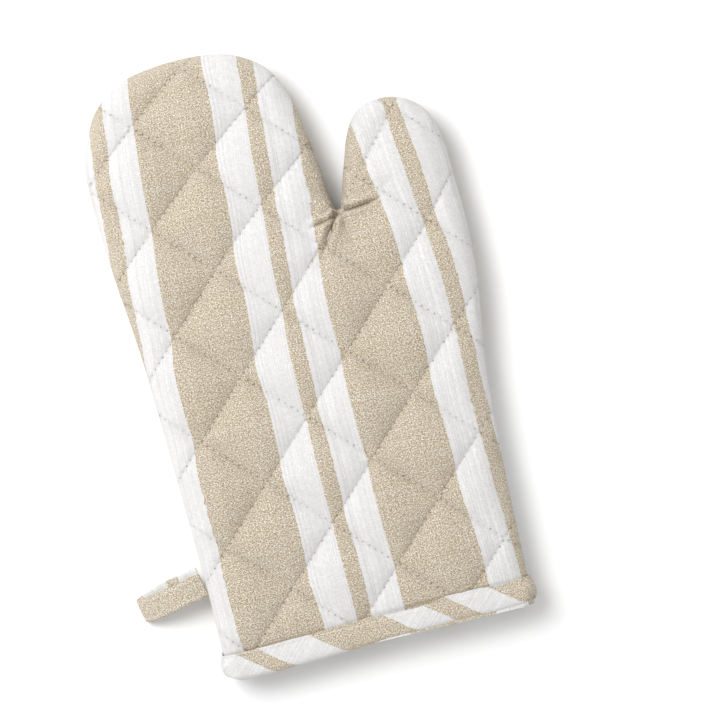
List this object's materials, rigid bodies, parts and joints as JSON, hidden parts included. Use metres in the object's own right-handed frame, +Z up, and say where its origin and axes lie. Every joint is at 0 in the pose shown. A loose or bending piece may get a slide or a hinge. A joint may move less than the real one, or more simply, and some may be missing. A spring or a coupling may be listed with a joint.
{
  "type": "oven mitt",
  "caption": "Quilted fabric oven mitt with one thumb, striped outer cloth, bound cuff and a side hang loop, lying flat.",
  "frame": {"origin": "on the back panel's flat underside, midway between the mitt's two widest sides and between the cuff's rim and the fingertips", "axes": "+X towards the thumb side, +Y from the cuff to the fingertips, +Z up out of the palm side"},
  "size_m": [0.223, 0.3306, 0.0304],
  "materials": {
    "striped_chambray": "matte",
    "cotton_lining": "matte",
    "cotton_batting": "matte",
    "cotton_thread": "satin",
    "overlocked_edge": "matte"
  },
  "bodies": {
    "palm": {"palm_front_shell": "striped_chambray", "palm_front_batting": "cotton_batting", "palm_front_lining": "cotton_lining", "palm_front_quilting": "cotton_thread", "palm_back_shell": "striped_chambray", "palm_back_batting": "cotton_batting", "palm_back_lining": "cotton_lining", "palm_back_quilting": "cotton_thread", "palm_perimeter_seam": "overlocked_edge", "cuff_binding": "striped_chambray", "binding_topstitch": "cotton_thread"},
    "fingers": {"fingers_front_shell": "striped_chambray", "fingers_front_batting": "cotton_batting", "fingers_front_lining": "cotton_lining", "fingers_front_quilting": "cotton_thread", "fingers_back_shell": "striped_chambray", "fingers_back_batting": "cotton_batting", "fingers_back_lining": "cotton_lining", "fingers_back_quilting": "cotton_thread", "fingers_perimeter_seam": "overlocked_edge"},
    "thumb": {"thumb_front_shell": "striped_chambray", "thumb_front_batting": "cotton_batting", "thumb_front_lining": "cotton_lining", "thumb_front_quilting": "cotton_thread", "thumb_back_shell": "striped_chambray", "thumb_back_batting": "cotton_batting", "thumb_back_lining": "cotton_lining", "thumb_back_quilting": "cotton_thread", "thumb_perimeter_seam": "overlocked_edge"},
    "hang_loop": {"hang_loop_tape": "striped_chambray", "hang_loop_stitching": "cotton_thread"}
  },
  "joints": [
    {"name": "finger_flex", "type": "hinge", "parent": "palm", "child": "fingers", "pos_m": [-0.034, 0.088, 0.0305], "axis": [1, 0, 0], "range_deg": [0, 60], "stiffness_Nm_per_rad": 0.03},
    {"name": "thumb_flex", "type": "hinge", "parent": "palm", "child": "thumb", "pos_m": [0.06125, 0.02425, 0.0305], "axis": [0.5494, -0.8356, 0], "range_deg": [0, 50], "stiffness_Nm_per_rad": 0.02},
    {"name": "hang_loop_swing", "type": "hinge", "parent": "palm", "child": "hang_loop", "pos_m": [-0.0882, -0.1102, 0.015], "axis": [-0.2079, 0.9781, 0], "range_deg": [-70, 80]}
  ]
}
